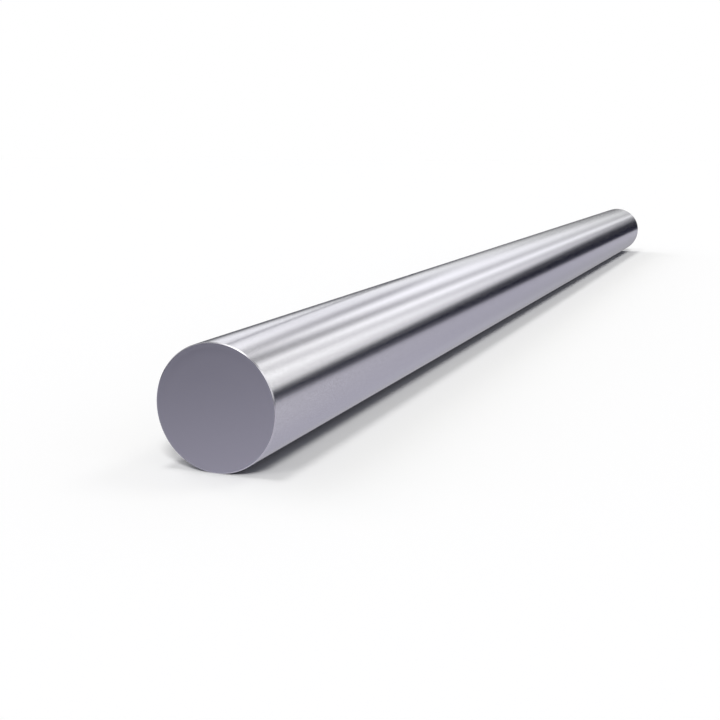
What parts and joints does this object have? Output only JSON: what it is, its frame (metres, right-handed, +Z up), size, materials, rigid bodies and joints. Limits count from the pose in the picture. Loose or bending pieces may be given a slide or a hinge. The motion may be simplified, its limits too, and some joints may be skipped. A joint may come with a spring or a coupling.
{
  "type": "round metal bar",
  "caption": "Solid round bar of bright steel stock, smooth and polished along its side, cut square at both ends with a finely broken rim.",
  "frame": {"origin": "On the bar's axis, half way along its length.", "axes": "+X runs along the bar's axis and +Z is up as the bar lies on its side. +Y is level and square to the bar."},
  "size_m": [1, 0.0498, 0.05],
  "materials": {
    "bright_steel": "Bright drawn and polished steel: a cool grey mirror with very fine grain along the bar, and duller, finely faced ends."
  },
  "bodies": {
    "root": {"round_bar": "bright_steel"}
  },
  "joints": []
}
